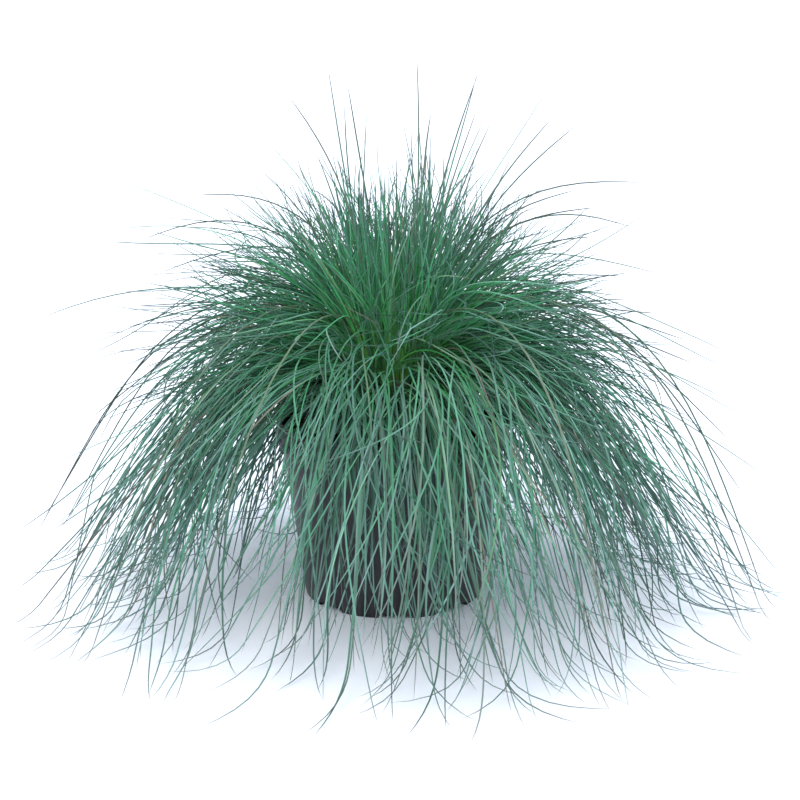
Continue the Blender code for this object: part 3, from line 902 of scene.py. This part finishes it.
def blade_mesh(name, blades, sections, share=None):
    """Closed, folded blades that taper to a point, with the patterns' place and nature on each vertex."""
    count = len(blades["length"])
    share = np.ones(count) if share is None else share
    points, headings = trace(blades, share, TRACE_STEPS)
    stations = section_stations(points, sections)
    spots = picked(points, stations)
    heading = picked(headings, stations)
    along = stations / TRACE_STEPS
    ways = np.gradient(spots, axis=1)
    ways /= np.maximum(np.linalg.norm(ways, axis=2, keepdims=True), TINY)
    level = np.stack([-np.sin(heading), np.cos(heading), np.zeros_like(heading)], -1)
    level -= (level * ways).sum(2, keepdims=True) * ways
    level /= np.maximum(np.linalg.norm(level, axis=2, keepdims=True), TINY)
    upper = np.cross(ways, level)
    twist = (blades["twist"][:, None] * along)[..., None]
    side = level * np.cos(twist) + upper * np.sin(twist)
    back = upper * np.cos(twist) - level * np.sin(twist)
    taper = np.clip(1 - along ** TIP_TAPER[0], 0, 1) ** TIP_TAPER[1]
    taper *= np.minimum(FOOT_TAPER + WIDENING * along, 1)
    width = blades["width"][:, None] * np.maximum(taper, LEAST_TAPER)

    rows = []
    for across, deep, over in FOLD:
        rows.append(spots + width[..., None] * (across * side + deep * back))
    body = np.stack(rows, 2)[:, :-1].reshape(count, -1, 3)
    vertices = np.concatenate([body, spots[:, -1:]], 1)
    pattern = np.zeros((count, sections, 4, 3))
    pattern[..., 0] = [over for _, _, over in FOLD]
    pattern[..., 1] = along[:, :-1, None]
    tip = np.tile([[[0.5, 1.0, 0.0]]], (count, 1, 1))
    place = np.concatenate([pattern.reshape(count, -1, 3), tip], 1)
    place[..., 2] = blades["number"][:, None]
    nature = np.stack([blades["bloom"], blades["dry"], blades["fresh"]], -1)
    nature = np.repeat(nature[:, None], vertices.shape[1], 1)

    mesh = bpy.data.meshes.new(name)
    mesh.from_pydata(vertices.reshape(-1, 3).tolist(), [], blade_faces(count, sections))
    set_vectors(mesh, "place", place.reshape(-1, 3))
    set_vectors(mesh, "nature", nature.reshape(-1, 3))
    # Each blade has its own strip of the UV map, with a tenth of it left free on both sides.
    strip = (np.arange(count)[:, None] + 0.1 + 0.8 * place[..., 0]) / count
    flat = np.stack([strip, place[..., 1]], -1).reshape(-1, 2)
    corners = np.zeros(len(mesh.loops), np.int32)
    mesh.loops.foreach_get("vertex_index", corners)
    layer = mesh.uv_layers.new(name="OFBake")
    layer.data.foreach_set("uv", flat[corners].astype(np.float32).ravel())
    mesh.shade_smooth()
    mesh.set_sharp_from_angle(angle=BLADE_EDGE)
    return mesh


def tuft_numbers(ring, azimuths):
    """The tuft of a ring that each azimuth falls in."""
    tufts = TUFTS[ring]
    step = math.tau / tufts
    offset = step / 2 if ring == "outer" else 0.0
    return np.floor((azimuths + offset) % math.tau / step).astype(int) % tufts


def make_ring(ring, look, chance):
    """Every blade of a ring, as one piece for each tuft."""
    groups = [grow(habit, chance) for habit in HABITS if habit.ring == ring]
    groups += [stray_blade(stray, chance) for stray in STRAYS if stray_ring(stray) == ring]
    blades = joined(groups)
    share = lying_share(blades, chance)
    numbers = tuft_numbers(ring, np.arctan2(blades["foot"][:, 1], blades["foot"][:, 0]))
    slot = "fresh_leaves" if ring in ("centre", "inner") else "blue_leaves"
    for tuft in range(TUFTS[ring]):
        chosen = numbers == tuft
        own = {key: value[chosen] for key, value in blades.items()}
        name = f"{ring}_blades_{tuft + 1:02d}"
        mesh = blade_mesh(name, own, SECTIONS[ring], share[chosen])
        finish_piece(new_piece(name, mesh), look, slot, f"{ring}_tuft_{tuft + 1:02d}")


def make_stage():
    """Pale floor, soft light from all round, and a broad lamp above the front, a little to the left."""
    bpy.ops.mesh.primitive_plane_add(size=FLOOR_SIZE)
    floor = bpy.context.object
    floor.name = "studio_floor"
    floor.data.materials.append(floor_material())

    scene = bpy.context.scene
    world = bpy.data.worlds.new("studio")
    world.use_nodes = True
    background = world.node_tree.nodes["Background"]
    background.inputs["Color"].default_value = SKY_COLOUR
    background.inputs["Strength"].default_value = SKY_STRENGTH
    scene.world = world

    lamp = bpy.data.lights.new("broad_lamp", "SUN")
    lamp.energy = LAMP_STRENGTH
    lamp.angle = LAMP_WIDTH
    lamp.color = LAMP_COLOUR
    holder = bpy.data.objects.new("broad_lamp", lamp)
    holder.rotation_euler = LAMP_TURN
    scene.collection.objects.link(holder)
    scene.view_settings.view_transform = "Standard"


def make_camera():
    """The photograph's view: from the front, a little above the plant."""
    camera = bpy.data.cameras.new("front_camera")
    camera.sensor_width = SENSOR_WIDTH
    camera.lens = LENS
    camera.clip_end = VIEW_END
    holder = bpy.data.objects.new("front_camera", camera)
    back = Vector((0, -math.cos(CAMERA_PITCH), math.sin(CAMERA_PITCH)))
    holder.location = CAMERA_TARGET + CAMERA_DISTANCE * back
    holder.rotation_euler = (math.pi / 2 - CAMERA_PITCH, 0, 0)
    bpy.context.scene.collection.objects.link(holder)
    bpy.context.scene.camera = holder


def build():
    """Every piece, the stage and the camera."""
    make_camera()
    make_stage()
    chance = np.random.default_rng(SEED)
    leaf = leaf_material("fescue_blade")
    make_pot()
    make_soil(soil_material(), chance)
    make_crown(leaf, chance)
    for ring in TUFTS:
        make_ring(ring, leaf, chance)


build()
